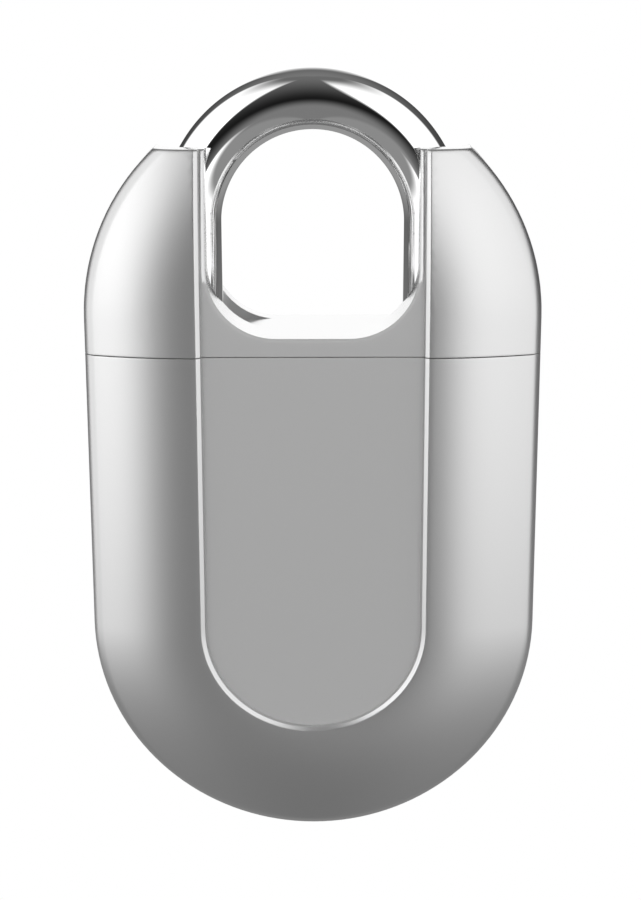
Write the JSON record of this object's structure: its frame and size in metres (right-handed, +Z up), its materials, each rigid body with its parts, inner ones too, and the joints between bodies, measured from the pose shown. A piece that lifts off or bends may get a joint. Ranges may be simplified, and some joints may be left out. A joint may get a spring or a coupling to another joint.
{
  "type": "digital padlock",
  "caption": "Shrouded electronic padlock: two-part satin metal body with a chrome shackle that lifts and swings, a motor-driven cam, two locking pins and a key port on the back.",
  "frame": {"origin": "lowest point of the body, on its centre planes", "axes": "+Z up along the shackle legs, -Y out of the front, +X towards the toe leg"},
  "size_m": [0.06, 0.019, 0.1041],
  "materials": {
    "satin_body": "satin plated die casting",
    "polished_chrome": "mirror polished",
    "hard_steel": "hardened, dark",
    "machined_steel": "machined",
    "brass": "machined",
    "copper_winding": "enamelled copper winding",
    "black_plastic": "moulded",
    "smoked_window": "smoked, polished",
    "rubber": "matt",
    "board_green": "green laminate",
    "ferrite": "sintered",
    "capacitor_sleeve": "shrink sleeve",
    "red_lead": "insulated lead"
  },
  "bodies": {
    "housing": {"upper_housing": "satin_body", "lower_housing": "satin_body", "seam_gasket": "rubber", "lock_cassette": "satin_body", "drill_guard_plate": "hard_steel", "toe_bumper": "rubber", "heel_bush": "brass", "spring_seat": "black_plastic", "lift_spring": "machined_steel", "gearbox": "brass", "motor_can": "machined_steel", "motor_end_cap": "black_plastic", "motor_lead_left": "red_lead", "motor_lead_right": "red_lead", "gearbox_bracket": "machined_steel", "cassette_screw_left": "machined_steel", "cassette_screw_right": "machined_steel", "bracket_screw_left": "machined_steel", "bracket_screw_right": "machined_steel", "case_screw": "machined_steel", "board_screw_1": "machined_steel", "board_screw_2": "machined_steel", "board_screw_3": "machined_steel", "circuit_board": "board_green", "controller_chip": "black_plastic", "toe_sensor": "black_plastic", "light_sensor": "smoked_window", "ferrite_plate": "ferrite", "key_coil": "copper_winding", "port_ring": "black_plastic", "port_seal": "rubber", "port_window": "smoked_window", "storage_capacitor": "capacitor_sleeve", "capacitor_clamp": "black_plastic"},
    "shackle_lift_carriage": {"spring_cup": "machined_steel"},
    "shackle": {"shackle": "polished_chrome", "retaining_clip": "hard_steel"},
    "cam": {"locking_cam": "hard_steel", "output_shaft": "machined_steel"},
    "toe_pin": {"toe_lock_pin": "machined_steel"},
    "heel_pin": {"heel_lock_pin": "machined_steel"}
  },
  "joints": [
    {"name": "shackle_lift", "type": "slide", "parent": "housing", "child": "shackle_lift_carriage", "axis": [0, 0, 1], "range_m": [0, 0.011], "deforming": ["lift_spring"]},
    {"name": "shackle_swing", "type": "hinge", "parent": "shackle_lift_carriage", "child": "shackle", "pos_m": [-0.016, 0, 0.06], "axis": [0, 0, 1], "range_deg": [0, 70]},
    {"name": "cam_turn", "type": "hinge", "parent": "housing", "child": "cam", "pos_m": [0, 0, 0.0603], "axis": [0, 0, 1], "range_deg": [0, 90]},
    {"name": "toe_pin_slide", "type": "slide", "parent": "housing", "child": "toe_pin", "axis": [1, 0, 0], "range_m": [0, 0.0015]},
    {"name": "heel_pin_slide", "type": "slide", "parent": "housing", "child": "heel_pin", "axis": [-1, 0, 0], "range_m": [0, 0.0015]}
  ],
  "couplings": [
    {"joint": "heel_pin_slide", "follows": "toe_pin_slide", "ratio": 1},
    {"joint": "cam_turn", "follows": "toe_pin_slide", "rad_per_m": 1047.2}
  ]
}
